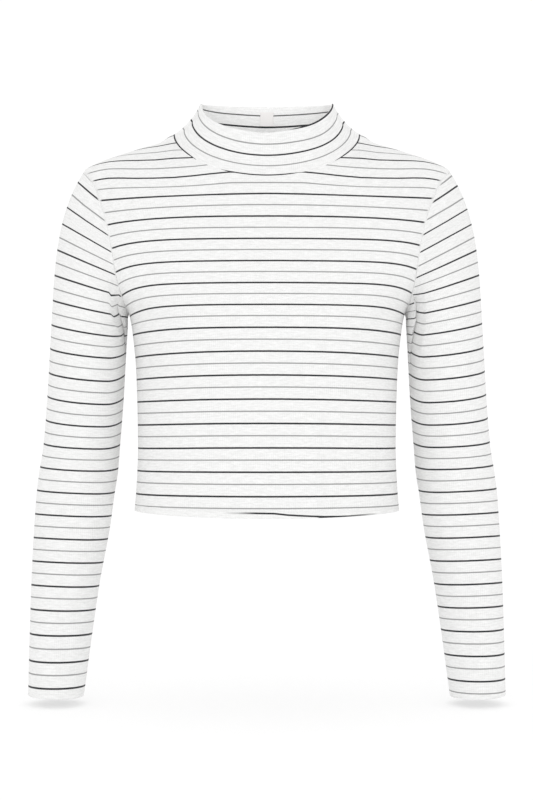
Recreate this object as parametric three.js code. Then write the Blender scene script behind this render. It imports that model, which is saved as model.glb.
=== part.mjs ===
import * as THREE from 'three';

// A long-sleeved crop top of striped jersey with a folded funnel neck, hollow, in the shape it has when worn.
// Millimetres, +Z up. The front faces -Y and the wearer's right side is at -X.
// The origin is the middle of the neck base, level with the two side neck points where it hangs.

// Cloth, seams and turned edges
const clothWall = 1.4;
const seamGap = 0.3;
const turnedWall = 2.2;
const turnedDepth = 20;
const turnedStep = 0.5;
const bandWall = 2.6;
const labelWall = 1;

// Neckline: width at the side neck points, and how far it dips at the front and at the back
const neckHalf = 104.7;
const neckLevel = 0.4;
const neckRound = 1.17;
const neckDrop = { front: 53.1, back: 10 };

// Shoulder point, underarm point and hem, as distances below the origin
const shoulderHalf = 205.3;
const shoulderDrop = 42.6;
const underarmDrop = 202;
const hemSide = 421;
const hemDip = { front: 3.6, back: 3 };

// Folded edge of the neck band: half width, reach forward and back, and heights
const bandHalf = 74.5;
const bandFront = 42;
const bandBack = 54;
const bandSideUp = 34.6;
const bandFrontUp = -4.7;
const bandBackUp = 39.6;

// Blank label on the inside of the band at the centre back
const labelHalf = 7.8;
const labelTop = 0.13;
const labelBottom = 0.45;
const labelGap = 0.5;

// How far sleeve cloth leans outwards where it leaves the armhole
const capLean = 0.45;

// Body form: horizontal oval sections, with half width and depth to the front and to the back
const bodySections = [
  { drop: 0.4, half: 104.7, front: 4, back: 13 },
  { drop: 9, half: 118.7, front: 19, back: 60 },
  { drop: 16.8, half: 143.9, front: 27, back: 71 },
  { drop: 24, half: 166.3, front: 34, back: 77 },
  { drop: 33.6, half: 192, front: 42, back: 83 },
  { drop: 42.6, half: 205.3, front: 48.5, back: 86.5 },
  { drop: 65, half: 206, front: 62, back: 93 },
  { drop: 90, half: 209.5, front: 73.5, back: 97 },
  { drop: 118, half: 211, front: 86, back: 99 },
  { drop: 145, half: 201, front: 97, back: 99 },
  { drop: 170, half: 181, front: 105, back: 97 },
  { drop: 192, half: 160.5, front: 109.3, back: 94.5 },
  { drop: 202, half: 154, front: 110.2, back: 93.3 },
  { drop: 224, half: 150, front: 109.3, back: 90.5 },
  { drop: 261, half: 146.5, front: 101.5, back: 87 },
  { drop: 300, half: 144.9, front: 94, back: 86.5 },
  { drop: 352, half: 144.1, front: 91, back: 89.5 },
  { drop: 390, half: 145.6, front: 91.5, back: 93 },
  { drop: 426, half: 148.4, front: 92, back: 96 },
];

// Armhole seam as seen from the front, from the shoulder point to the underarm
const armholeSeam = [
  { drop: 42.6, out: 205.3 },
  { drop: 52.6, out: 195.2 },
  { drop: 77.4, out: 183.9 },
  { drop: 103, out: 175.2 },
  { drop: 131, out: 168.7 },
  { drop: 158.4, out: 164.5 },
  { drop: 182, out: 159.6 },
  { drop: 202, out: 154 },
];

// Sleeve below the armhole: its two sides, middle, half depth, and how far the front of a ring hangs low
const sleeveSections = [
  { drop: 215, inner: 156.6, outer: 241.4, middle: 3, deep: 46, tilt: 0.1 },
  { drop: 244, inner: 158.2, outer: 243.4, middle: 6, deep: 47, tilt: 0.12 },
  { drop: 297, inner: 161.5, outer: 247.3, middle: 13, deep: 47, tilt: 0.13 },
  { drop: 349, inner: 166, outer: 252.3, middle: 19, deep: 46, tilt: 0.09 },
  { drop: 379, inner: 168.6, outer: 257.2, middle: 21, deep: 45.5, tilt: 0.04 },
  { drop: 405, inner: 172.6, outer: 260.4, middle: 21, deep: 44.5, tilt: 0.01 },
  { drop: 441, inner: 177.5, outer: 262.8, middle: 20, deep: 42.5, tilt: -0.01 },
  { drop: 504, inner: 188.9, outer: 265.7, middle: 17, deep: 39, tilt: -0.02 },
  { drop: 559, inner: 196.9, outer: 267.3, middle: 15, deep: 36, tilt: -0.01 },
  { drop: 627, inner: 206.5, outer: 268.9, middle: 13, deep: 33, tilt: 0 },
];

// How finely each surface is divided
const neckColumns = 7;
const shoulderColumns = 7;
const halfColumns = neckColumns + shoulderColumns;
const upperRows = 12;
const lowerRows = 8;
const capRings = 8;
const armRings = 15;
const bandRings = 5;
const labelColumns = 4;
const labelRows = 3;
const normalStep = 0.5;
const seamSamples = 400;
const halvings = 40;

const jersey = { color: 0xf2f2f0, roughness: 0.92, metalness: 0 };
const labelCloth = { color: 0xf5f2ee, roughness: 0.7, metalness: 0 };

// A smooth curve through a table's rows that never overshoots between them
function smoothThrough(table, from, to) {
  const s = table.map((row) => Math.sqrt(row[from]));
  const v = table.map((row) => row[to]);
  const last = s.length - 1;
  const rise = s.slice(1).map((next, k) => (v[k + 1] - v[k]) / (next - s[k]));
  const slope = s.map((_, k) => {
    if (k === 0) return rise[0];
    if (k === last) return rise[last - 1];
    if (rise[k - 1] * rise[k] <= 0) return 0;
    return (2 * rise[k - 1] * rise[k]) / (rise[k - 1] + rise[k]);
  });
  return (drop) => {
    const at = THREE.MathUtils.clamp(Math.sqrt(Math.max(drop, 0)), s[0], s[last]);
    let k = 0;
    while (k < last - 1 && at > s[k + 1]) k += 1;
    const width = s[k + 1] - s[k];
    const t = (at - s[k]) / width;
    const ends = v[k] * (1 + 2 * t) * (1 - t) ** 2 + v[k + 1] * t * t * (3 - 2 * t);
    return ends + width * (slope[k] * t * (1 - t) ** 2 - slope[k + 1] * t * t * (1 - t));
  };
}

const halfAt = smoothThrough(bodySections, 'drop', 'half');
const depthAt = {
  front: smoothThrough(bodySections, 'drop', 'front'),
  back: smoothThrough(bodySections, 'drop', 'back'),
};
const armholeAt = smoothThrough(armholeSeam, 'drop', 'out');
const sleeveAt = Object.fromEntries(['inner', 'outer', 'middle', 'deep', 'tilt'].map(
  (column) => [column, smoothThrough(sleeveSections, 'drop', column)],
));

// The body's outer surface at a place seen from the front, and its outward normal there
function bodyPoint(x, z, side) {
  const across = Math.min(Math.abs(x) / halfAt(-z), 1);
  const y = seamGap / 2 + depthAt[side](-z) * Math.sqrt(1 - across * across);
  return new THREE.Vector3(x, side === 'front' ? -y : y, z);
}

function bodyNormal(point, side) {
  const step = normalStep;
  const drop = -point.z;
  const half = halfAt(drop);
  const depth = depthAt[side](drop);
  const halfRise = (halfAt(drop - step) - halfAt(drop + step)) / (2 * step);
  const depthRise = (depthAt[side](drop - step) - depthAt[side](drop + step)) / (2 * step);
  const y = Math.max(Math.abs(point.y) - seamGap / 2, 0) * Math.sign(point.y);
  const x = point.x;
  const up = -(x * x * halfRise) / half ** 3 - (y * y * depthRise) / depth ** 3;
  return new THREE.Vector3(x / half ** 2, y / depth ** 2, up).normalize();
}

// Half of the top edge of a panel, seen from the front: neckline first, then the shoulder seam
function topEdge(column, side) {
  if (column <= neckColumns) {
    const turn = (column / neckColumns) * (Math.PI / 2);
    const dip = neckDrop[side] - neckLevel;
    return [neckHalf * Math.sin(turn), -neckLevel - dip * Math.max(Math.cos(turn), 0) ** neckRound];
  }
  const out = (column - neckColumns) / shoulderColumns;
  const x = THREE.MathUtils.lerp(neckHalf, shoulderHalf, out);
  return [x, shoulderHeight(x)];
}

// The shoulder seam lies where the body form is exactly as wide as x
function shoulderHeight(x) {
  let high = neckLevel;
  let low = shoulderDrop;
  for (let k = 0; k < halvings; k += 1) {
    const middle = (high + low) / 2;
    if (halfAt(middle) < x) high = middle;
    else low = middle;
  }
  return -(high + low) / 2;
}

// The armhole from underarm to shoulder, in steps of equal length along the seam
function armholeSteps() {
  const fine = [];
  const count = seamSamples;
  for (let k = 0; k <= count; k += 1) {
    const drop = THREE.MathUtils.lerp(underarmDrop, shoulderDrop, k / count);
    fine.push(bodyPoint(armholeAt(drop), -drop, 'front'));
  }
  const length = [0];
  for (let k = 1; k <= count; k += 1) length.push(length[k - 1] + fine[k].distanceTo(fine[k - 1]));
  return Array.from({ length: upperRows + 1 }, (_, row) => {
    const wanted = (row / upperRows) * length[count];
    const k = Math.max(length.findIndex((reached) => reached >= wanted), 0);
    return [fine[k].x, fine[k].z];
  });
}

const armhole = armholeSteps();

// Where a panel's grid point lies, seen from the front. Rows count up from the underarm to the top edge,
// and a row below the underarm is minus its share of the way down to the hem.
function panelPlace(column, row, side) {
  const across = column / halfColumns;
  if (row < 0) {
    const hem = hemSide + hemDip[side] * Math.cos(across * (Math.PI / 2)) ** 2;
    const z = -THREE.MathUtils.lerp(underarmDrop, hem, -row);
    return [halfAt(-z) * Math.sin(across * (Math.PI / 2)), z];
  }
  const rowPart = row / upperRows;
  const rise = 1 - (1 - rowPart) ** 2;
  const edgePull = across ** 3;
  const bottom = [halfAt(underarmDrop) * Math.sin(across * (Math.PI / 2)), -underarmDrop];
  const top = topEdge(column, side);
  const ends = [armhole[0], armhole[upperRows]];
  return [0, 1].map((axis) => {
    const between = THREE.MathUtils.lerp(bottom[axis], top[axis], rise);
    const straight = THREE.MathUtils.lerp(ends[0][axis], ends[1][axis], rise);
    return between + edgePull * (armhole[row][axis] - straight);
  });
}

// The last two rows below the underarm carry the turned-up hem
function panelGrid(side) {
  const below = hemSide - underarmDrop;
  const plainShare = 1 - turnedDepth / below;
  const plainRows = Array.from({ length: lowerRows }, (_, k) => (plainShare * (lowerRows - k)) / lowerRows);
  const rows = [1, plainShare + turnedStep / below, ...plainRows].map((share) => -share);
  return [...rows, ...armhole.keys()].map((row) => {
    const wall = row < -plainShare ? turnedWall : clothWall;
    const points = [];
    for (let column = -halfColumns; column <= halfColumns; column += 1) {
      const [x, z] = panelPlace(Math.abs(column), row, side);
      const outer = bodyPoint(column < 0 ? -x : x, z, side);
      const normal = bodyNormal(outer, side);
      points.push({ outer, normal, wall });
    }
    return points;
  });
}

// A closed wall between outer points and the same points moved in along their normals
function makeWall(name, grid, { around = false, outward = 1, finish = jersey } = {}) {
  const rows = grid.length;
  const columns = grid[0].length;
  const positions = [];
  for (const inside of [false, true]) {
    for (const row of grid) {
      for (const { outer, normal, wall } of row) {
        const point = inside ? outer.clone().addScaledVector(normal, -wall) : outer;
        positions.push(point.x, point.y, point.z);
      }
    }
  }
  const at = (row, column, inside) => (inside * rows + row) * columns + (column % columns);
  const corner = (index) => new THREE.Vector3().fromArray(positions, index * 3);
  const faces = [];
  const quad = (a, b, c, d) => {
    const pair = corner(a).distanceTo(corner(c)) <= corner(b).distanceTo(corner(d))
      ? [[a, b, c], [a, c, d]] : [[a, b, d], [b, c, d]];
    for (const [p, q, r] of pair) faces.push(...(outward > 0 ? [p, q, r] : [p, r, q]));
  };
  const columnSteps = around ? columns : columns - 1;
  for (let row = 0; row < rows - 1; row += 1) {
    for (let column = 0; column < columnSteps; column += 1) {
      quad(at(row, column, 0), at(row, column + 1, 0), at(row + 1, column + 1, 0), at(row + 1, column, 0));
      quad(at(row, column, 1), at(row + 1, column, 1), at(row + 1, column + 1, 1), at(row, column + 1, 1));
    }
  }
  for (let column = 0; column < columnSteps; column += 1) {
    const end = rows - 1;
    quad(at(0, column, 1), at(0, column + 1, 1), at(0, column + 1, 0), at(0, column, 0));
    quad(at(end, column, 0), at(end, column + 1, 0), at(end, column + 1, 1), at(end, column, 1));
  }
  if (!around) {
    for (let row = 0; row < rows - 1; row += 1) {
      const end = columns - 1;
      quad(at(row, 0, 1), at(row, 0, 0), at(row + 1, 0, 0), at(row + 1, 0, 1));
      quad(at(row, end, 0), at(row, end, 1), at(row + 1, end, 1), at(row + 1, end, 0));
    }
  }
  const geometry = new THREE.BufferGeometry();
  geometry.setAttribute('position', new THREE.Float32BufferAttribute(positions, 3));
  geometry.setIndex(faces);
  geometry.computeVertexNormals();
  const mesh = new THREE.Mesh(geometry, new THREE.MeshStandardMaterial({ ...finish, name }));
  mesh.name = name;
  return mesh;
}

// A curve from one point to another that leaves and arrives in given directions
function sweepBetween(from, to, leave, arrive, part) {
  const length = from.distanceTo(to);
  const back = 1 - part;
  const point = from.clone().multiplyScalar(back * back * (1 + 2 * part));
  point.addScaledVector(to, part * part * (3 - 2 * part));
  point.addScaledVector(leave, length * part * back * back);
  return point.addScaledVector(arrive, -length * part * part * back);
}

// Outward normals of a grid of rings, from each point's neighbours
function ringNormals(rings) {
  const last = rings.length - 1;
  return rings.map((ring, row) => ring.map((_, column) => {
    const count = ring.length;
    const along = rings[Math.min(row + 1, last)][column].clone().sub(rings[Math.max(row - 1, 0)][column]);
    const round = ring[(column + 1) % count].clone().sub(ring[(column + count - 1) % count]);
    return round.cross(along).normalize();
  }));
}

// At a seam the edge of a wall never leans over the piece that it is sewn to
function clearOfSeam(normal, away) {
  return normal.clone().addScaledVector(away, -Math.max(normal.dot(away), 0)).normalize();
}

// The armhole as a ring, from the shoulder over the front to the underarm and up the back
function armholeRing() {
  const ring = [];
  for (let row = upperRows; row >= 0; row -= 1) ring.push([armhole[row], 'front']);
  for (let row = 1; row < upperRows; row += 1) ring.push([armhole[row], 'back']);
  const points = ring.map(([[x, z], side]) => {
    const point = bodyPoint(x, z, side);
    const normal = bodyNormal(point, side);
    if (Math.abs(point.y) < seamGap) point.y = 0;
    return { point, normal };
  });
  return points.map(({ point, normal }, k) => {
    const count = points.length;
    const along = points[(k + 1) % count].point.clone().sub(points[(k + count - 1) % count].point);
    const away = normal.clone().cross(along).normalize();
    return { point: point.clone().addScaledVector(away, seamGap), away };
  });
}

function sleevePlace(turn, drop) {
  const inner = sleeveAt.inner(drop);
  const outer = sleeveAt.outer(drop);
  const x = (inner + outer) / 2 + ((outer - inner) / 2) * Math.cos(turn);
  const reach = -sleeveAt.deep(drop) * Math.sin(turn);
  return new THREE.Vector3(x, sleeveAt.middle(drop) + reach, -drop + sleeveAt.tilt(drop) * reach);
}

function sleeveGrid() {
  const start = armholeRing();
  const count = start.length;
  const tubeTop = sleeveSections[0].drop;
  const cuffDrop = sleeveSections[sleeveSections.length - 1].drop;
  const rings = [];
  for (let ring = 0; ring <= capRings; ring += 1) {
    rings.push(start.map(({ point }, k) => {
      const turn = (k / count) * 2 * Math.PI;
      const end = sleevePlace(turn, tubeTop);
      const arrive = sleevePlace(turn, tubeTop + 1).sub(end).normalize();
      const leave = end.clone().sub(point).normalize();
      leave.x += capLean;
      return sweepBetween(point, end, leave.normalize(), arrive, ring / capRings);
    }));
  }
  const turned = cuffDrop - turnedDepth;
  const drops = Array.from({ length: armRings }, (_, k) => (
    THREE.MathUtils.lerp(tubeTop, turned, (k + 1) / armRings)
  ));
  for (const drop of [...drops, turned + turnedStep, cuffDrop]) {
    rings.push(start.map((_, k) => sleevePlace((k / count) * 2 * Math.PI, drop)));
  }
  const normals = ringNormals(rings);
  return rings.map((ring, row) => ring.map((outer, k) => ({
    outer,
    normal: row === 0 ? clearOfSeam(normals[0][k], start[k].away) : normals[row][k],
    wall: row > capRings + armRings ? turnedWall : clothWall,
  })));
}

// The neckline as a ring, from the centre front to the left side neck point and round the back
function necklineRing() {
  const places = [];
  for (let column = 0; column <= neckColumns; column += 1) places.push([column, 'front', 1]);
  for (let column = neckColumns - 1; column >= 0; column -= 1) places.push([column, 'back', 1]);
  for (let column = 1; column <= neckColumns; column += 1) places.push([column, 'back', -1]);
  for (let column = neckColumns - 1; column > 0; column -= 1) places.push([column, 'front', -1]);
  const points = places.map(([column, side, mirror]) => {
    const [x, z] = topEdge(column, side);
    const point = bodyPoint(mirror * x, z, side);
    const normal = bodyNormal(point, side);
    if (column === neckColumns) point.y = 0;
    return { point, normal };
  });
  return points.map(({ point, normal }, k) => {
    const count = points.length;
    const along = points[(k + 1) % count].point.clone().sub(points[(k + count - 1) % count].point);
    const away = normal.clone().cross(along).normalize();
    return { point: point.clone().addScaledVector(away, seamGap), away };
  });
}

function foldPlace(turn) {
  const forward = Math.cos(turn);
  const reach = forward > 0 ? bandFront : bandBack;
  const up = forward > 0 ? bandFrontUp : bandBackUp;
  return new THREE.Vector3(
    bandHalf * Math.sin(turn),
    -reach * forward,
    THREE.MathUtils.lerp(bandSideUp, up, Math.abs(forward)),
  );
}

function bandGrid() {
  const start = necklineRing();
  const count = start.length;
  const rings = [];
  for (let ring = 0; ring <= bandRings; ring += 1) {
    rings.push(start.map(({ point, away }, k) => {
      const end = foldPlace((k / count) * 2 * Math.PI);
      const straight = end.clone().sub(point).normalize();
      const arrive = straight.multiplyScalar(2).sub(away).normalize();
      return sweepBetween(point, end, away, arrive, ring / bandRings);
    }));
  }
  const normals = ringNormals(rings);
  return rings.map((ring, row) => ring.map((outer, k) => ({
    outer,
    normal: row === 0 ? clearOfSeam(normals[0][k], start[k].away) : normals[row][k],
    wall: bandWall,
  })));
}

// The label follows the inside of the band at the centre back, moved in from its points
function labelGrid(band) {
  const middle = band[0].length / 2;
  const inside = band.map((ring) => [-1, 0, 1].map((step) => {
    const { outer, normal, wall } = ring[middle + step];
    return { point: outer.clone().addScaledVector(normal, -wall - labelGap), normal };
  }));
  const alongBand = (column, part) => {
    const row = Math.min(Math.floor(part * bandRings), bandRings - 1);
    const share = part * bandRings - row;
    const point = inside[row][column].point.clone().lerp(inside[row + 1][column].point, share);
    const normal = inside[row][column].normal.clone().lerp(inside[row + 1][column].normal, share).normalize();
    return { point, normal };
  };
  const rows = [];
  for (let row = 0; row <= labelRows; row += 1) {
    const part = 1 - THREE.MathUtils.lerp(labelBottom, labelTop, row / labelRows);
    const points = [];
    for (let column = 0; column <= labelColumns; column += 1) {
      const x = labelHalf * (1 - (2 * column) / labelColumns);
      const centre = alongBand(1, part);
      const beside = alongBand(x > 0 ? 0 : 2, part);
      const share = Math.abs(x / beside.point.x);
      const outer = centre.point.clone().lerp(beside.point, share);
      const normal = centre.normal.clone().lerp(beside.normal, share).normalize();
      points.push({ outer, normal, wall: labelWall });
    }
    rows.push(points);
  }
  return rows;
}

function mirrored(grid) {
  const flip = (vector) => new THREE.Vector3(-vector.x, vector.y, vector.z);
  return grid.map((row) => row.map(({ outer, normal, wall }) => (
    { outer: flip(outer), normal: flip(normal), wall }
  )));
}

const garment = new THREE.Group();
garment.name = 'crop_top';

const leftSleeve = sleeveGrid();
const band = bandGrid();
garment.add(makeWall('front_panel', panelGrid('front')));
garment.add(makeWall('back_panel', panelGrid('back'), { outward: -1 }));
garment.add(makeWall('sleeve_left', leftSleeve, { around: true }));
garment.add(makeWall('sleeve_right', mirrored(leftSleeve), { around: true, outward: -1 }));
garment.add(makeWall('neck_band', band, { around: true }));
garment.add(makeWall('neck_label', labelGrid(band), { finish: labelCloth }));

export default garment;
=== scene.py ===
import math

import bpy
import numpy as np
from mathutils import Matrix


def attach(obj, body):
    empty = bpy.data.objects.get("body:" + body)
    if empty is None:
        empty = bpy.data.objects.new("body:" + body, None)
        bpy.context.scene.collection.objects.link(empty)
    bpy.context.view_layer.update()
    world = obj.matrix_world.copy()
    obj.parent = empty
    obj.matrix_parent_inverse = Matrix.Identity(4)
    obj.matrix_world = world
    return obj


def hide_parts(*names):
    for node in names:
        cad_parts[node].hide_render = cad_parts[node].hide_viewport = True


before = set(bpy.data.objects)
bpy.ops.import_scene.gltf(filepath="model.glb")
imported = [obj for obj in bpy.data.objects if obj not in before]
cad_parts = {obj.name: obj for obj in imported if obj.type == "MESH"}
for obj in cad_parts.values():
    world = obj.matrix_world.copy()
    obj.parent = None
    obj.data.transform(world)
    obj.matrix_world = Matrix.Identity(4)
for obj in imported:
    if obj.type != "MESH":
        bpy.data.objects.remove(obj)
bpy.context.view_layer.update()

# The camera stands level, two metres in front of the garment, at the height of its waist.
camera_away = 2.0
camera_drop = 0.2974
camera_aside = -0.0004
view_height = 0.896
sensor = 36.0

camera_place = (camera_aside, -camera_away, -camera_drop)
bpy.ops.object.camera_add(location=camera_place, rotation=(math.radians(90), 0, 0))
camera = bpy.context.object
camera.name = "camera"
camera.data.sensor_fit = "VERTICAL"
camera.data.sensor_height = sensor
camera.data.lens = sensor * camera_away / view_height
bpy.context.scene.camera = camera


# Front and back panels: two pieces of white single jersey, striped charcoal and light grey by turns. They are
# sewn at the shoulders and sides, their edges turned in as seam allowance, and their hem is turned up.
cloth = 0.0010
allowance = 0.0055
seam_gap = 0.0003
hem_turned = 0.0021
hem_deep = 0.020
fold_round = 0.0008
neck_half = 0.1047
neck_level = 0.0004
neck_round = 1.17
neck_drop = {"front": 0.0531, "back": 0.010}
shoulder_half = 0.2053
shoulder_drop = 0.0426
underarm_drop = 0.202
hem_side = 0.421
hem_dip = {"front": 0.0036, "back": 0.003}
panel_columns = 160
upper_rows = 84
lower_rows = 76
hem_rows = 34
neck_share = 0.5
row_crowding = 1.7
edge_pull = 3
fold_step = 0.002
shoulder_samples = 2000
armhole_samples = 800
edge_turn = 0.0008
crisp_angle = 50
climb_steps = 41
pale_columns = 2

body_sections = {
    "drop": [0.0004, 0.009, 0.0168, 0.024, 0.0336, 0.0426, 0.065, 0.090, 0.118, 0.145,
             0.170, 0.192, 0.202, 0.224, 0.261, 0.300, 0.352, 0.390, 0.426],
    "half": [0.1047, 0.1187, 0.1439, 0.1663, 0.192, 0.2053, 0.206, 0.2095, 0.211, 0.201,
             0.181, 0.1605, 0.154, 0.150, 0.1465, 0.1449, 0.1441, 0.1456, 0.1484],
    "front": [0.004, 0.019, 0.027, 0.034, 0.042, 0.0485, 0.062, 0.0735, 0.086, 0.097,
              0.105, 0.1093, 0.1102, 0.1093, 0.1015, 0.094, 0.091, 0.0915, 0.092],
    "back": [0.013, 0.060, 0.071, 0.077, 0.083, 0.0865, 0.093, 0.097, 0.099, 0.099,
             0.097, 0.0945, 0.0933, 0.0905, 0.087, 0.0865, 0.0895, 0.093, 0.096],
}
armhole_seam = {
    "drop": [0.0426, 0.0526, 0.0774, 0.103, 0.131, 0.1584, 0.182, 0.202],
    "out": [0.2053, 0.1952, 0.1839, 0.1752, 0.1687, 0.1645, 0.1596, 0.154],
}
# The worn garment sits a little towards its right, so both armhole seams lie this much off, half way up
armhole_shift = {"left": -0.0018, "right": 0.0010}
# Stripes are counted up from the hem, even ones charcoal and odd ones grey: their drops at the centre
body_stripes = {
    "drop": [0.003, 0.013, 0.0375, 0.0611, 0.0993, 0.1367, 0.1727, 0.208, 0.2456, 0.2964, 0.3486, 0.4008,
             0.427],
    "count": [34, 33, 31, 29, 26, 23, 20, 17, 14, 10, 6, 2, 0],
}
# Stripes sag towards the side seams and armholes: how far they hang at the edge, and how late the sag sets in
stripe_sag = {
    "drop": [0.003, 0.045, 0.060, 0.075, 0.099, 0.125, 0.150, 0.175, 0.200, 0.222, 0.246, 0.272, 0.300, 0.350,
             0.392, 0.425],
    "edge": [0.009, 0.009, 0.0035, 0.0039, 0.006, 0.0073, 0.0085, 0.010, 0.009, 0.005, 0.0046, 0.004, 0.0032,
             0.0024, 0.0008, 0.0006],
    "late": [1.2, 1.2, 1.2, 1.2, 3.5, 6, 7, 8, 7, 4, 2.6, 2.3, 2, 2, 2.6, 3],
}
stripe_pitch = 0.0129
back_level = 0.100
# Towards the left armhole the front's stripes run higher than towards the right one
left_rise = {
    "drop": [0.050, 0.062, 0.075, 0.099, 0.125, 0.150, 0.175, 0.200, 0.230],
    "rise": [0, 0.0010, 0.0026, 0.0024, 0.0026, 0.0021, 0.0020, 0.0017, 0],
}
left_rise_late = 4
# The charcoal stripe on the front hem's fold: how far up it lies, and how much of its dye shows
hem_line = {
    "x": [-0.150, -0.048, -0.0315, -0.0127, 0.0077, 0.0233, 0.039, 0.0625, 0.086, 0.106, 0.122, 0.150],
    "up": [0.0052, 0.0052, 0.0052, 0.0053, 0.0050, 0.0032, 0.0021, 0.0005, -0.0002, 0.0001, 0.0003, 0.0003],
    "dye": [0, 0, 0.35, 1, 1, 1, 1, 1, 1, 0.7, 0, 0],
}
last_grey_drop = 0.4135
last_grey_sag = 0.0006
last_grey_late = 3
handover_start = 0.3
handover_length = 0.4
# Near the front shoulders the stripes are drawn line by line: their drops, by distance from the centre. Above
# the highest of these lines they follow the cloth up to the shoulder, at the spacing given.
shoulder_stripes = {
    "from_centre": [0, 0.041, 0.062, 0.082, 0.103, 0.123, 0.144, 0.164, 0.175, 0.185, 0.195, 0.206],
    "spacing": [0.0136, 0.0136, 0.0136, 0.0136, 0.0145, 0.0133, 0.0131, 0.0130, 0.0129, 0.0129, 0.0129, 0.0129],
    "31": [0.0365, 0.037, 0.0395, 0.0416, 0.0428, 0.0435, 0.0432, 0.0421, 0.0419, 0.0429, 0.0447, 0.047],
    "30": [0.0485, 0.0485, 0.0505, 0.0527, 0.0543, 0.0545, 0.0541, 0.0529, 0.0526, 0.0533, 0.0547, 0.057],
    "29": [0.0611, 0.0612, 0.0630, 0.0645, 0.0655, 0.0655, 0.0650, 0.0645, 0.0644, 0.0649, 0.0662, 0.068],
    "28": [0.0739, 0.0742, 0.0753, 0.0764, 0.0770, 0.0769, 0.0768, 0.0766, 0.0769, 0.0776, 0.0790, 0.080],
}
shoulder_lines_end = 0.062
shoulder_lines_fade = 0.014
# Soft hollows and swells of the worn cloth. Slant is in degrees from upright.
body_creases = {
    "front": {
        "x": [-0.118, 0.121, -0.062, 0.071, -0.128, 0.126, 0.020, -0.015],
        "drop": [0.212, 0.214, 0.330, 0.345, 0.262, 0.268, 0.405, 0.255],
        "length": [0.030, 0.028, 0.070, 0.060, 0.036, 0.032, 0.030, 0.050],
        "width": [0.012, 0.011, 0.024, 0.022, 0.013, 0.012, 0.030, 0.040],
        "depth": [-0.0016, -0.0014, -0.0011, -0.0010, -0.0012, -0.0011, -0.0010, -0.0008],
        "slant": [52, -52, 6, -5, 60, -58, 80, 85],
    },
    "back": {
        "x": [-0.115, 0.118, -0.040, 0.052, 0.004, -0.080, 0.086, 0.120, -0.122],
        "drop": [0.200, 0.204, 0.290, 0.310, 0.350, 0.375, 0.360, 0.265, 0.272],
        "length": [0.040, 0.036, 0.060, 0.050, 0.045, 0.050, 0.055, 0.030, 0.034],
        "width": [0.014, 0.013, 0.018, 0.016, 0.022, 0.020, 0.022, 0.012, 0.013],
        "depth": [-0.0022, -0.0020, -0.0018, -0.0016, 0.0012, -0.0014, -0.0014, -0.0014, -0.0015],
        "slant": [45, -48, 12, -10, 82, 8, -7, -55, 55],
    },
}
crease_sway = 0.12
crease_bends = 2.1
calm_sides = 9
calm_top = 0.02


def smooth_through(table, column):
    """A curve through a table's rows, read by drop, that never overshoots between them."""
    at = np.sqrt(np.array(table["drop"]))
    value = np.array(table[column], dtype=float)
    rise = np.diff(value) / np.diff(at)
    slope = np.concatenate([rise[:1], np.zeros(len(rise) - 1), rise[-1:]])
    same_way = rise[:-1] * rise[1:] > 0
    both = np.where(same_way, rise[:-1] + rise[1:], 1)
    slope[1:-1] = np.where(same_way, 2 * rise[:-1] * rise[1:] / both, 0)

    def read(drop):
        where = np.clip(np.sqrt(np.maximum(drop, 0)), at[0], at[-1])
        k = np.clip(np.searchsorted(at, where, side="right") - 1, 0, len(at) - 2)
        width = at[k + 1] - at[k]
        t = (where - at[k]) / width
        ends = value[k] * (1 + 2 * t) * (1 - t) ** 2 + value[k + 1] * t * t * (3 - 2 * t)
        return ends + width * (slope[k] * t * (1 - t) ** 2 - slope[k + 1] * t * t * (1 - t))

    return read


half_at = smooth_through(body_sections, "half")
depth_at = {side: smooth_through(body_sections, side) for side in ("front", "back")}
armhole_at = smooth_through(armhole_seam, "out")
stripe_at = smooth_through(body_stripes, "count")
sag_at = smooth_through(stripe_sag, "edge")
sag_late = smooth_through(stripe_sag, "late")


def unit(vectors):
    return vectors / np.maximum(np.linalg.norm(vectors, axis=-1, keepdims=True), 1e-12)


def body_point(x, z, side):
    across = np.minimum(np.abs(x) / half_at(-z), 1)
    y = seam_gap / 2 + depth_at[side](-z) * np.sqrt(1 - across ** 2)
    return np.stack([x, -y if side == "front" else y, z], axis=-1)


def body_normal(points, side):
    step = 0.0005
    x, y, z = np.moveaxis(points, -1, 0)
    half, depth = half_at(-z), depth_at[side](-z)
    half_rise = (half_at(-z - step) - half_at(-z + step)) / (2 * step)
    depth_rise = (depth_at[side](-z - step) - depth_at[side](-z + step)) / (2 * step)
    y = np.maximum(np.abs(y) - seam_gap / 2, 0) * np.sign(y)
    up = -(x ** 2 * half_rise) / half ** 3 - (y ** 2 * depth_rise) / depth ** 3
    return unit(np.stack([x / half ** 2, y / depth ** 2, up], axis=-1))


def top_edge(across, side):
    """Half of a panel's top edge, seen from the front: the neckline and then the shoulder seam."""
    turn = np.minimum(across / neck_share, 1) * math.pi / 2
    dip = neck_drop[side] - neck_level
    neck_x = neck_half * np.sin(turn)
    neck_z = -neck_level - dip * np.maximum(np.cos(turn), 0) ** neck_round
    out = np.clip((across - neck_share) / (1 - neck_share), 0, 1)
    shoulder_x = neck_half + (shoulder_half - neck_half) * out
    drops = np.linspace(neck_level, shoulder_drop, shoulder_samples)
    shoulder_z = -np.interp(shoulder_x, half_at(drops), drops)
    on_neck = across <= neck_share
    return np.where(on_neck, neck_x, shoulder_x), np.where(on_neck, neck_z, shoulder_z)


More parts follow.
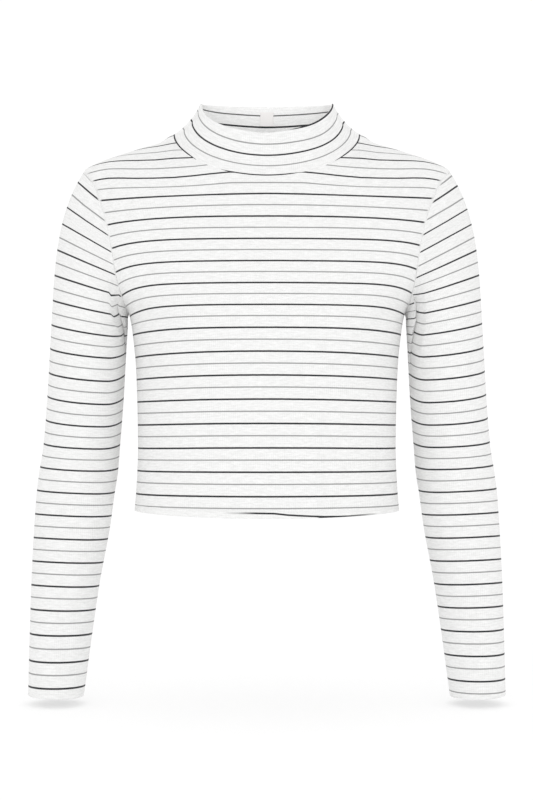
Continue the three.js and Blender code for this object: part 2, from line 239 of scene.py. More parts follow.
def armhole_steps(shares, half):
    """Places on one armhole's seam, by their share of its length from underarm to shoulder."""
    drops = np.linspace(underarm_drop, shoulder_drop, armhole_samples)
    out = armhole_at(drops) + armhole_shift[half] * np.sin(np.linspace(0, math.pi, armhole_samples))
    fine = body_point(out, -drops, "front")
    length = np.concatenate([[0], np.cumsum(np.linalg.norm(np.diff(fine, axis=0), axis=1))])
    wanted = shares * length[-1]
    return np.interp(wanted, length, fine[:, 0]), np.interp(wanted, length, fine[:, 2])


def ease(share):
    share = np.clip(share, 0, 1)
    return share * share * (3 - 2 * share)


def crease_field(creases, x, drop):
    """How far the cloth moves out of its plain form, from a table of soft hollows and swells."""
    moved = np.zeros_like(x)
    for k in range(len(creases["x"])):
        slant = math.radians(creases["slant"][k])
        east, down = x - creases["x"][k], drop - creases["drop"][k]
        along = east * math.sin(slant) + down * math.cos(slant)
        over = east * math.cos(slant) - down * math.sin(slant)
        over = over + crease_sway * along * np.sin(along / creases["length"][k] * crease_bends)
        fall = np.exp(-(along / creases["length"][k]) ** 2 - (over / creases["width"][k]) ** 2)
        moved = moved + creases["depth"][k] * fall
    return moved


class Patch:
    """A grid of cloth points with its stripe count, the dye of its stripes, its place on the cut and its wall.

    The lining layers are the stripe count and dye on the inner side; above 1 that dye paints shade and glow.
    """

    def __init__(self, points, normals, stripes, wall):
        self.points, self.normals, self.faces_out = points, normals, normals
        self.stripes, self.wall = stripes, np.broadcast_to(wall, stripes.shape).copy()
        steps = np.linalg.norm(np.diff(points, axis=1), axis=2)
        self.width = np.concatenate([np.zeros_like(steps[:, :1]), np.cumsum(steps, axis=1)], axis=1)
        self.width = self.width - self.width[:, -1:] / 2
        self.dye = np.ones_like(stripes)
        self.lining, self.lining_dye_and_painted_inside = self.stripes, self.dye

    def layers(self):
        return {name: getattr(self, name) for name in
                ("points", "normals", "faces_out", "stripes", "wall", "width", "dye", "lining", "lining_dye_and_painted_inside")}

    def swap(self):
        for name, layer in self.layers().items():
            setattr(self, name, np.swapaxes(layer, 0, 1))

    def reverse(self):
        for name, layer in self.layers().items():
            setattr(self, name, layer[::-1])

    def add_rows(self, profile, turn):
        """Adds rows past the last one, as far out past the edge and in from the face as the profile says."""
        past = unit(self.points[-1] - self.points[-2])
        past = unit(past - self.normals[-1] * np.sum(past * self.normals[-1], axis=-1, keepdims=True))
        edge = {name: layer[-1] for name, layer in self.layers().items()}
        for out, inward, thinner in profile:
            row = dict(edge)
            row["points"] = edge["points"] + past * out - edge["normals"] * inward
            row["wall"] = edge["wall"] - thinner
            if turn:
                share = min(inward / edge_turn, 1)
                row["faces_out"] = unit(edge["faces_out"] * (1 - share) + past * share)
            for name in row:
                setattr(self, name, np.concatenate([getattr(self, name), row[name][None]]))


turned_in = [(0.00015, 0.00012, 0), (0.0002, 0.0005, 0), (0.0001, 0.0028, 0), (-0.0004, allowance, 0)]
folded_edge = [(0.0004, 0.00015, 0.0003), (0.0007, 0.0005, 0.0010), (0.0008, 0.0009, 0.0018)]


def finish_edge(patch, edge, profile, turn):
    if edge in ("left", "right"):
        patch.swap()
    if edge in ("left", "bottom"):
        patch.reverse()
    patch.add_rows(profile, turn)
    if edge in ("left", "bottom"):
        patch.reverse()
    if edge in ("left", "right"):
        patch.swap()


def wall_corners(face, lining, around):
    """The four corner values of every face of a wall, from a value for each point of its two sides."""

    def strip(a, b, c, d):
        return np.stack([a, b, c, d], axis=-1).reshape(-1, 4)

    quads = [
        strip(face[:-1, :-1], face[:-1, 1:], face[1:, 1:], face[1:, :-1]),
        strip(lining[:-1, :-1], lining[1:, :-1], lining[1:, 1:], lining[:-1, 1:]),
        strip(lining[0, :-1], lining[0, 1:], face[0, 1:], face[0, :-1]),
        strip(face[-1, :-1], face[-1, 1:], lining[-1, 1:], lining[-1, :-1]),
    ]
    if not around:
        quads.append(strip(lining[:-1, 0], face[:-1, 0], face[1:, 0], lining[1:, 0]))
        quads.append(strip(face[:-1, -1], lining[:-1, -1], lining[1:, -1], face[1:, -1]))
    return np.concatenate(quads)


def sew_wall(name, patch, around=False, inside_out=False):
    """A closed wall of cloth from a patch. One that goes around is closed from its last column to its first."""
    rows, columns = patch.stripes.shape
    inner = patch.points - patch.faces_out * patch.wall[..., None]
    points = np.concatenate([patch.points.reshape(-1, 3), inner.reshape(-1, 3)])
    index = np.arange(2 * rows * columns).reshape(2, rows, columns)
    width, ups = patch.width, np.stack([patch.stripes, patch.lining]) * stripe_pitch
    if around:
        last_step = np.linalg.norm(patch.points[:, :1] - patch.points[:, -1:], axis=2)
        width = np.concatenate([width, width[:, -1:] + last_step], axis=1)
        index = np.concatenate([index, index[:, :, :1]], axis=2)
        ups = np.concatenate([ups, ups[:, :, :1]], axis=2)
    quads = wall_corners(index[0], index[1], around)
    place = np.stack([wall_corners(width, width, around), wall_corners(ups[0], ups[1], around)], axis=-1)
    if inside_out:
        quads, place = quads[:, ::-1], place[:, ::-1]
    mesh = bpy.data.meshes.new(name)
    mesh.from_pydata(points.tolist(), [], quads.tolist())
    for attribute, outer_layer, inner_layer in (("stripe_count", patch.stripes, patch.lining),
                                                ("stripe_dye_and_painted_inside", patch.dye, patch.lining_dye_and_painted_inside)):
        values = mesh.attributes.new(attribute, "FLOAT", "POINT")
        values.data.foreach_set("value", np.stack([outer_layer, inner_layer]).reshape(-1).astype(np.float32))
    cut_map = mesh.uv_layers.new(name="cut")
    cut_map.data.foreach_set("uv", place.reshape(-1).astype(np.float32))
    mesh.update()
    piece = bpy.data.objects.new(name, mesh)
    bpy.context.collection.objects.link(piece)
    bpy.ops.object.select_all(action="DESELECT")
    piece.select_set(True)
    bpy.context.view_layer.objects.active = piece
    bpy.ops.object.shade_smooth_by_angle(angle=math.radians(crisp_angle))
    return piece


def sagging_stripes(drop, share):
    return stripe_at(drop - sag_at(drop) * share ** sag_late(drop))


def climb_from(level, x, drop, side):
    """How far up over the cloth a point lies from the level below it."""
    part = np.linspace(0, 1, climb_steps)[:, None, None]
    way = body_point(x + 0 * part, -(level + (np.minimum(drop, level) - level) * part), side)
    return np.linalg.norm(np.diff(way, axis=0), axis=-1).sum(axis=0)


def near_shoulder(x, drop, stripes):
    """The front's stripe count, led by the lines drawn near the shoulders as far down as they reach."""
    at = {name: np.interp(np.abs(x), shoulder_stripes["from_centre"], shoulder_stripes[name])
          for name in shoulder_stripes}
    lines = [at[name] for name in ("31", "30", "29", "28")]
    passed = sum(np.clip((drop - upper) / (lower - upper), 0, 1) for upper, lower in zip(lines, lines[1:]))
    passed = passed - climb_from(lines[0], x, drop, "front") / at["spacing"]
    lower_down = np.clip((drop - shoulder_lines_end) / shoulder_lines_fade, 0, 1)
    return (31 - passed) * (1 - lower_down) + stripes * lower_down


def hem_stripe(x, drop, hem, share, stripes):
    """The front hem is folded on a charcoal stripe that wavers along the fold and rolls under at both sides."""
    fold = hem - np.interp(x, hem_line["x"], hem_line["up"])
    last = last_grey_drop + last_grey_sag * share ** last_grey_late
    nearer = ease(((drop - last) / (fold - last) - handover_start) / handover_length)
    count = (1 - (drop - last) / stripe_pitch) * (1 - nearer) + (fold - drop) / stripe_pitch * nearer
    dye = np.where(drop > (last + fold) / 2, np.interp(x, hem_line["x"], hem_line["dye"]), 1)
    above = ease((drop - last) / stripe_pitch + 1)
    stripes = stripes * (1 - above) + (1 + (last - drop) / stripe_pitch) * above
    return np.where(drop > last, count, stripes), dye


def panel_patch(side):
    across = np.linspace(-1, 1, panel_columns + 1)
    far = np.abs(across)
    hem = hem_side - fold_round + hem_dip[side] * np.cos(far * math.pi / 2) ** 2
    plain = 1 - hem_deep / (hem_side - underarm_drop)
    doubled = np.linspace(1, plain + fold_step, hem_rows)
    down = np.concatenate([doubled, np.linspace(plain, 0, lower_rows)[:-1]])[:, None]
    low_z = -(underarm_drop + (hem - underarm_drop) * down)
    low_x = half_at(-low_z) * np.sin(far * math.pi / 2)
    part = np.linspace(0, 1, upper_rows + 1)[:, None]
    rise = 1 - (1 - part) ** row_crowding
    bottom_x = half_at(underarm_drop) * np.sin(far * math.pi / 2)
    top_x, top_z = top_edge(far, side)
    seams = {half: armhole_steps(part[:, 0], half) for half in ("left", "right")}
    arm_x, arm_z = (np.where(across > 0, left[:, None], right[:, None])
                    for left, right in zip(seams["left"], seams["right"]))
    pull = far ** edge_pull
    high_x = bottom_x + (top_x - bottom_x) * rise
    high_x = high_x + pull * (arm_x - (arm_x[:1] + (arm_x[-1:] - arm_x[:1]) * rise))
    high_z = -underarm_drop + (top_z + underarm_drop) * rise
    high_z = high_z + pull * (arm_z - (arm_z[:1] + (arm_z[-1:] - arm_z[:1]) * rise))
    x = np.concatenate([low_x, high_x]) * np.sign(across)
    z = np.concatenate([low_z, high_z])
    points = body_point(x, z, side)
    normals = body_normal(points, side)
    drop = -z
    upper_edge = np.where(drop > shoulder_drop, armhole_at(drop), shoulder_half)
    edge = np.where(drop > underarm_drop, half_at(drop), upper_edge)
    share = np.clip(np.abs(x) / edge, 0, 1)
    dye = np.ones_like(x)
    if side == "front":
        raised = np.interp(drop, left_rise["drop"], left_rise["rise"]) * share ** left_rise_late
        read_at = drop + np.where(x > 0, raised, 0)
        stripes = near_shoulder(x, read_at, sagging_stripes(read_at, share))
        stripes, dye = hem_stripe(x, drop, hem[None, :], share, stripes)
    else:
        climb = climb_from(back_level, x, drop, "back")
        stripes = sagging_stripes(np.maximum(drop, back_level), share) + climb / stripe_pitch
    at_armhole = np.where(drop < underarm_drop, 1 - ease((1 - far) * panel_columns / pale_columns), 0)
    calm = np.clip((1 - far) * calm_sides, 0, 1) * np.clip((top_z - z) / calm_top, 0, 1)
    points = points + normals * (crease_field(body_creases[side], x, drop) * calm)[..., None]
    patch = Patch(points, normals, stripes, np.where(drop > hem - hem_deep, hem_turned, cloth))
    patch.dye = patch.lining_dye_and_painted_inside = dye * (1 - at_armhole)
    for sewn in ("left", "right", "top"):
        finish_edge(patch, sewn, turned_in, True)
    finish_edge(patch, "bottom", folded_edge, False)
    return patch


class Strand:
    """A value in a finish. Expressions on strands add the nodes that work them out."""

    def __init__(self, tree, socket):
        self.tree, self.socket = tree, socket

    def node(self, kind, settings=None, inputs=None, output=0):
        made = self.tree.nodes.new(kind)
        for name, value in (settings or {}).items():
            setattr(made, name, value)
        for name, value in (inputs or {}).items():
            if isinstance(value, Strand):
                self.tree.links.new(value.socket, made.inputs[name])
            else:
                made.inputs[name].default_value = value
        return Strand(self.tree, made.outputs[output])

    def math(self, operation, *values):
        return self.node("ShaderNodeMath", {"operation": operation}, dict(enumerate((self,) + values)))

    def __add__(self, other):
        return self.math("ADD", other)

    __radd__ = __add__

    def __sub__(self, other):
        return self.math("SUBTRACT", other)

    def __rsub__(self, other):
        return self.node("ShaderNodeMath", {"operation": "SUBTRACT"}, {0: other, 1: self})

    def __mul__(self, other):
        return self.math("MULTIPLY", other)

    __rmul__ = __mul__

    def between(self, low, high):
        """0 below low, 1 above high and smooth from one to the other."""
        inputs = {"Value": self, "From Min": low, "From Max": high}
        return self.node("ShaderNodeMapRange", {"interpolation_type": "SMOOTHSTEP"}, inputs)

    def mixed(self, first, second):
        """A colour from first to second as this value goes from 0 to 1."""
        inputs = {"Factor": self, 6: first, 7: second}
        return self.node("ShaderNodeMix", {"data_type": "RGBA"}, inputs, output=2)


def new_finish(name):
    """A material with one Principled shader, and a strand to build its pattern from."""
    material = bpy.data.materials.new(name)
    material.use_nodes = True
    tree = material.node_tree
    shader = tree.nodes["Principled BSDF"]
    return material, shader, Strand(tree, None)


def cut_ways(start):
    """The place on the cut, then how far it lies across the piece and up it."""
    cut = start.node("ShaderNodeUVMap", {"uv_map": "cut"})
    return cut, *(cut.node("ShaderNodeSeparateXYZ", inputs={0: cut}, output=way) for way in (0, 1))


def specks(place, scale, detail):
    inputs = {"Vector": place, "Scale": scale, "Detail": detail}
    return place.node("ShaderNodeTexNoise", {"noise_dimensions": "2D"}, inputs)


def finish_shader(shader, colour, relief, even):
    """Gives a finish its colour, its relief and the values that are the same all over."""
    bump = relief["Height"].node("ShaderNodeBump", inputs=relief)
    colour.tree.links.new(colour.socket, shader.inputs["Base Color"])
    colour.tree.links.new(bump.socket, shader.inputs["Normal"])
    for name, value in even.items():
        shader.inputs[name].default_value = value


wale = 0.0011
loop_height = 0.0009
rib = 0.0024
white_yarn = (0.89, 0.89, 0.886, 1)
# The darker yarn colour is the low end of the yarn's uneven tone and of the painted shade in the knit's grooves
shadow_yarn = (0.745, 0.745, 0.738, 1)
unlit = (0, 0, 0, 1)
grey_yarn = (0.31, 0.31, 0.31, 1)
charcoal_yarn = (0.028, 0.028, 0.031, 1)
# In stripe counts: half the width of each kind of stripe, its soft edge, and how far it wavers
charcoal_half = 0.074
grey_half = 0.055
stripe_soft = 0.014
stripe_waver = 0.016
loop_waver = 0.012

loop_slant = 0.9
rib_waver = 0.8
streaks_per_metre = (75.0, 640.0, 1.0)
twill_per_metre = (260.0, 700.0, 1.0)
twill_turn = 0.9
# Painted shade: inside the band the grey stripes move towards charcoal by this much for each unit of dye above 1
inside_grey_painted_shade = 1.35
# Painted glow: a little all over the jersey, and more inside the band where the dye lies above 1
painted_glow_start = 0.9


def striped_jersey():
    """White jersey in fine knitted ribs, with charcoal and grey stripes where the stripe count is whole.

    It glows a little all over in its own colour, a painted glow. A dye above 1 marks the inside of the doubled
    band, where the grey stripes get painted shade and the painted glow is stronger.
    """
    material, shader, start = new_finish("striped_jersey")
    count = start.node("ShaderNodeAttribute", {"attribute_name": "stripe_count"}, output="Fac")
    dye = start.node("ShaderNodeAttribute", {"attribute_name": "stripe_dye_and_painted_inside"}, output="Fac")
    cut, along, up = cut_ways(start)
    uneven = specks(cut, 160.0, 3.0)
    leg = (along * (1 / wale)).math("PINGPONG", 0.5)
    wavering = count + (uneven - 0.5) * stripe_waver + leg * loop_waver
    from_even = wavering.math("PINGPONG", 1.0)
    charcoal = (1 - from_even.between(charcoal_half - stripe_soft, charcoal_half + stripe_soft)) * dye
    grey = (1 - (1 - from_even).between(grey_half - stripe_soft, grey_half + stripe_soft)) * dye
    drawn = cut.node("ShaderNodeMapping", inputs={"Vector": cut, "Scale": streaks_per_metre})
    streak = specks(drawn, 1.0, 2.0)
    turned = {"Vector": cut, "Rotation": (0, 0, twill_turn), "Scale": twill_per_metre}
    grain = specks(cut.node("ShaderNodeMapping", inputs=turned), 1.0, 2.0)
    fuzz = specks(cut, 900.0, 4.0)
    loops = (up * (1 / loop_height) + leg * loop_slant).math("PINGPONG", 0.5) * 2.0
    ribs = (along * (2 * math.pi / rib) + (uneven - 0.5) * rib_waver).math("SINE") * 0.5 + 0.5
    # Painted shade: darker in the grooves between the knitted loops and between the ribs; streaks and grain are
    # the yarn's own uneven tone
    shade = streak.between(0.3, 0.7) * 0.45 + grain.between(0.3, 0.7) * 0.3 + (1 - loops) * 0.15
    ground = (shade + (1 - ribs) * 0.1).mixed(white_yarn, shadow_yarn)
    # Painted shade on the grey stripes inside the band
    grey_with_painted_shade = ((dye - 1) * inside_grey_painted_shade).mixed(grey_yarn, charcoal_yarn)
    colour = charcoal.mixed(grey.mixed(ground, grey_with_painted_shade), charcoal_yarn)
    # Painted glow: emission in the jersey's own colour, stronger where the dye lies above 1
    painted_glow = (dye.math("MAXIMUM", 1.0) - painted_glow_start).mixed(unlit, colour)
    start.tree.links.new(painted_glow.socket, shader.inputs["Emission Color"])
    height = loops * 0.25 + leg * 0.2 + fuzz * 0.2 + streak * 0.3 + ribs * 0.5
    relief = {"Strength": 0.8, "Distance": 0.0003, "Height": height}
    finish_shader(shader, colour, relief, {"Emission Strength": 0.24, "Roughness": 0.9, "Sheen Weight": 0.12,
                                           "Sheen Roughness": 0.5, "Specular IOR Level": 0.25})
    return material


jersey = striped_jersey()
front_panel = sew_wall("front_panel_jersey", panel_patch("front"))
back_panel = sew_wall("back_panel_jersey", panel_patch("back"), inside_out=True)
panel_cuts = ((front_panel, "front_panel", (0.425, 0.446)), (back_panel, "back_panel", (0.425, 0.450)))
for panel, node, cut_size in panel_cuts:
    panel.data.materials.append(jersey)
    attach(panel, "root")
    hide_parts(node)


# Sleeves: two long set-in sleeves of the same jersey, each with one underarm seam and sewn into its armhole all
# round. The cap leans out from the shoulder, the arm bends a little at the elbow, and the cuff is turned up.
cap_lean = 0.45
sleeve_columns = 156
cap_rings = 78
arm_rings = 160
cuff_rings = 10
hem_step = 0.0005
heading_step = 0.001
sleeve_sections = {
    "drop": [0.215, 0.244, 0.297, 0.349, 0.379, 0.405, 0.441, 0.504, 0.559, 0.627],
    "inner": [0.1566, 0.1582, 0.1615, 0.166, 0.1686, 0.1726, 0.1775, 0.1889, 0.1969, 0.2065],
    "outer": [0.2414, 0.2434, 0.2473, 0.2523, 0.2572, 0.2604, 0.2628, 0.2657, 0.2673, 0.2689],
    "middle": [0.003, 0.006, 0.013, 0.019, 0.021, 0.021, 0.020, 0.017, 0.015, 0.013],
    "deep": [0.046, 0.047, 0.047, 0.046, 0.0455, 0.0445, 0.0425, 0.039, 0.036, 0.033],
    "tilt": [0.10, 0.12, 0.13, 0.09, 0.04, 0.01, -0.01, -0.02, -0.01, 0],
}
# The cap's outer side, seen from the front
cap_outline = {
    "drop": [0.0426, 0.054, 0.0678, 0.0818, 0.1009, 0.130, 0.158, 0.186, 0.215],
    "out": [0.2053, 0.2134, 0.2202, 0.2258, 0.230, 0.234, 0.2369, 0.2392, 0.2414],
}
# Stripes are counted up from the cuff. Their drops at the outer side differ a little between the sleeves.
sleeve_stripes = {
    "count": [44, 43, 42, 41, 40, 38, 37, 36, 35, 34, 33, 32, 31, 30, 28, 26, 24, 20, 16, 12, 8, 4, 2, 1, 0, -2],
    "right": [0.031, 0.0430, 0.0526, 0.0664, 0.0806, 0.0998, 0.1155, 0.1296, 0.1438, 0.1578, 0.172, 0.1854,
              0.199, 0.2122, 0.2385, 0.2651, 0.2913, 0.3444, 0.3983, 0.4520, 0.5050, 0.5593, 0.5888, 0.6031,
              0.6180, 0.648],
    "left": [0.031, 0.0460, 0.0567, 0.0705, 0.0828, 0.1003, 0.1152, 0.130, 0.1433, 0.1576, 0.1711, 0.1845,
             0.1976, 0.2108, 0.2371, 0.2636, 0.2892, 0.3425, 0.3964, 0.450, 0.5024, 0.5546, 0.5818, 0.5958,
             0.6099, 0.637],
}
top_stripe_drop = 0.030
# Sleeve stripes hang lower towards the body by this much for each metre in from the outer side
stripe_lean = {
    "drop": [0.043, 0.055, 0.068, 0.083, 0.1005, 0.115, 0.130, 0.144, 0.158, 0.172, 0.185, 0.199, 0.212, 0.238,
             0.265, 0.295, 0.346, 0.400, 0.450, 0.505, 0.560, 0.627],
    "right": [0.62, 0.63, 0.66, 0.62, 0.555, 0.50, 0.435, 0.38, 0.325, 0.275, 0.23, 0.19, 0.16, 0.12, 0.10,
              0.087, 0.058, 0.049, 0.040, 0.035, 0.004, 0],
    "left": [0.55, 0.545, 0.54, 0.56, 0.535, 0.515, 0.46, 0.40, 0.335, 0.275, 0.23, 0.19, 0.16, 0.12, 0.10,
             0.087, 0.058, 0.049, 0.040, 0.035, 0.004, 0],
}
# How far the stripes rise on both sleeves, at the middle of the front and back and at either side
stripe_bend = {
    "drop": [0.250, 0.297, 0.347, 0.398, 0.440, 0.477, 0.518, 0.544, 0.572, 0.627],
    "outer": [0, -0.0007, -0.0014, -0.0005, -0.0007, -0.0003, -0.0006, -0.0002, -0.0003, -0.0005],
    "middle": [0.0001, 0.0002, 0.0003, 0.0004, 0.0012, 0.0016, 0.0011, 0.0003, -0.0001, 0.0002],
    "inner": [0, -0.0012, -0.0011, 0.0004, 0.0014, 0.0012, 0.0009, -0.0004, -0.0013, -0.0004],
}
lean_rounds = 12
missing_grey = 39
missing_width = 0.35
# The slack under the arm is a valley between a soft edge and a sharp one, with a flap beyond the sharp edge.
# Both are in degrees round the sleeve from its outer side. Sag, lift and slip move the stripes down it.
underarm_folds = {
    "right": {
        "drop": [0.170, 0.1864, 0.1986, 0.2108, 0.2219, 0.235, 0.250, 0.268],
        "soft": [120, 123, 127, 132, 146, 155, 162, 168],
        "sharp": [139, 143, 147, 157, 163, 170, 176, 182],
        "deep": [0, 0.0025, 0.0062, 0.0092, 0.0090, 0.0062, 0.0030, 0],
        "sag": [0, 0.0042, 0.0036, 0.0024, 0.0004, 0, 0, 0],
        "lift": [0, -0.0012, -0.0026, -0.0038, -0.0044, -0.0028, -0.0010, 0],
        "slip": [0, 0, 0.0006, 0.0010, 0.0014, 0.0010, 0.0004, 0],
    },
    "left": {
        "drop": [0.170, 0.183, 0.194, 0.210, 0.221, 0.2364, 0.253, 0.275],
        "soft": [117, 119, 121, 123, 126, 132, 138, 146],
        "sharp": [141, 143, 144, 145, 151, 159, 165, 172],
        "deep": [0, 0.0034, 0.0072, 0.0096, 0.0096, 0.0075, 0.0040, 0],
        "sag": [0, 0, 0, 0, 0, 0, 0, 0],
        "lift": [0, -0.0026, -0.0040, -0.0047, -0.0052, -0.0034, -0.0018, 0],
        "slip": [0, 0.0070, 0.0070, 0.0032, 0.0008, -0.0006, 0, 0],
    },
}
# As shares of the way from the soft edge to the sharp one, but for the flap's own height and places
valley_in = 0.3
valley_out = 0.1
valley_floor = 0.2
pull_in = 0.25
lift_late = 1.5
edge_from = 0.95
edge_width = 0.1
flap_base = 0.1
flap_rise = 2.2
flap_start = 0.007
seam_fade = 10
behind_lower = 0.004
# Along the inner side of both sleeves the stripes rise towards the underarm seam
inner_rise = {
    "drop": [0.190, 0.215, 0.235, 0.255, 0.290, 0.330, 0.370, 0.420],
    "rise": [0, 0.0010, 0.0034, 0.0050, 0.0050, 0.0034, 0.0020, 0],
}
inner_rise_from = 128
# Turn is in degrees from the outer side over the front, and slant in degrees from upright
sleeve_creases = {
    "turn": [120, 250, 95, 300, 60, 225, 110, 262, 70],
    "drop": [0.372, 0.366, 0.402, 0.392, 0.350, 0.300, 0.470, 0.482, 0.560],
    "length": [0.020, 0.022, 0.018, 0.020, 0.022, 0.030, 0.026, 0.028, 0.030],
    "width": [0.0080, 0.0080, 0.0075, 0.0080, 0.0090, 0.0100, 0.0100, 0.0100, 0.0120],
    "depth": [-0.0012, -0.0014, -0.0009, -0.0011, 0.0008, -0.0012, -0.0008, -0.0010, -0.0008],
    "slant": [62, -60, 70, -66, 74, 20, 66, -64, 72],
}
calm_cap = 60
# Worn, the cuffs reach a little lower than their pattern, most at the inner side
cuff_reach = 0.0022
cuff_inner_reach = 0.0018
reach_start = 0.55
column_crowding = 0.4
seam_pale = 0.0015
pale_from = 0.2

sleeve_at = {name: smooth_through(sleeve_sections, name) for name in sleeve_sections if name != "drop"}


def sleeve_place(turn, drop):
    inner, outer = sleeve_at["inner"](drop), sleeve_at["outer"](drop)
    x = (inner + outer) / 2 + (outer - inner) / 2 * np.cos(turn)
    reach = -sleeve_at["deep"](drop) * np.sin(turn)
    return np.stack([x, sleeve_at["middle"](drop) + reach, -drop + sleeve_at["tilt"](drop) * reach], axis=-1)


def clear_ring(x, z, at_front, on_seam):
    """A ring along the edges of both panels and just clear of them, and which way is away from them."""
    ring = np.where(at_front[:, None], body_point(x, z, "front"), body_point(x, z, "back"))
    normals = np.where(at_front[:, None], body_normal(ring, "front"), body_normal(ring, "back"))
    ring[on_seam, 1] = 0
    along = np.roll(ring, -1, axis=0) - np.roll(ring, 1, axis=0)
    away = unit(np.cross(normals, along))
    return ring + away * seam_gap, away


def armhole_ring(turn, side):
    """The armhole from the shoulder over the front to the underarm and up the back."""
    x, z = armhole_steps(np.abs(turn / math.pi - 1), side)
    return clear_ring(x, z, turn < math.pi + 1e-6, [0, len(turn) // 2])


def sweep_between(start, end, leave, arrive, part):
    """Curves from start to end that leave and arrive in the given directions."""
    length = np.linalg.norm(end - start, axis=-1, keepdims=True)
    rest = 1 - part
    point = start * rest ** 2 * (1 + 2 * part) + end * part ** 2 * (3 - 2 * part)
    return point + leave * length * part * rest ** 2 - arrive * length * part ** 2 * rest


def ring_normals(rings):
    along = np.gradient(rings, axis=0)
    around = np.roll(rings, -1, axis=1) - np.roll(rings, 1, axis=1)
    return unit(np.cross(around, along))


def underarm_fold(fold, turn, drop):
    """How far the underarm's slack moves the cloth out, and how far it moves the stripes down."""
    at = {name: np.interp(drop, fold["drop"], fold[name]) for name in fold}
    share = (turn - at["soft"]) / (at["sharp"] - at["soft"])
    part = np.clip(share, 0, 1)
    valley = ease(share / valley_in) * ease((1 - share) / valley_out)
    valley = valley * (valley_floor + (1 - valley_floor) * part ** 2)
    beyond = ease((share - edge_from) / edge_width)
    behind_edge = np.maximum(np.sin(np.radians(at["sharp"])) - np.sin(np.radians(turn)), 0)
    flap = beyond * ease((180 - turn) / seam_fade) * (flap_base + flap_rise * behind_edge)
    pulled = ease(share / pull_in) * (1 - beyond) * (at["sag"] * (1 - part) + at["lift"] * part ** lift_late)
    risen = np.interp(drop, inner_rise["drop"], inner_rise["rise"])
    risen = risen * ease((turn - inner_rise_from) / (180 - inner_rise_from))
    return at["deep"] * (flap - valley), pulled + at["slip"] * beyond - risen


def stripe_rise(turn, drop):
    """How far the bends of the stripes raise them, all round the sleeve."""
    at = {name: np.interp(drop, stripe_bend["drop"], stripe_bend[name]) for name in stripe_bend}
    middle, inward = np.abs(np.sin(turn)), (1 - np.cos(turn)) / 2
    at_sides = at["outer"] * (1 - inward) + at["inner"] * inward
    return at["middle"] * middle + at_sides * (1 - middle)


def clear_of_seam(normals, away):
    lean = np.maximum(np.sum(normals * away, axis=-1, keepdims=True), 0)
    return unit(normals - away * lean)


def sleeve_outline(drop):
    """The outer side of the whole sleeve, seen from the front."""
    cap_out = np.interp(drop, cap_outline["drop"], cap_outline["out"])
    return np.where(drop < cap_outline["drop"][-1], cap_out, sleeve_at["outer"](drop))


def sleeve_stripe_count(side, drop, x):
    """The stripe count all over a sleeve, read at the outer side from where each stripe comes from."""
    lean_at = smooth_through(stripe_lean, side)
    outer_drop = drop.copy()
    for _ in range(lean_rounds):
        outer_drop = drop - lean_at(outer_drop) * (sleeve_outline(drop) - np.abs(x))
    table = {"drop": sleeve_stripes[side], "count": sleeve_stripes["count"]}
    return smooth_through(table, "count")(np.maximum(outer_drop, top_stripe_drop))


def sleeve_hollows(turn, drop, girth):
    """How far the creases move a sleeve's cloth out."""
    moved = np.zeros_like(girth)
    for k in range(len(sleeve_creases["turn"])):
        one = {name: [column[k]] for name, column in sleeve_creases.items()}
        one["x"] = [0.0]
        round_it = (turn[None, :] - math.radians(one["turn"][0]) + math.pi) % (2 * math.pi) - math.pi
        moved = moved + crease_field(one, round_it * girth, drop)
    return moved


def from_half_way(layer):
    """The same rings begun half way round, which is where the seam that closes them lies."""
    return np.roll(layer, -(layer.shape[1] // 2), axis=1)


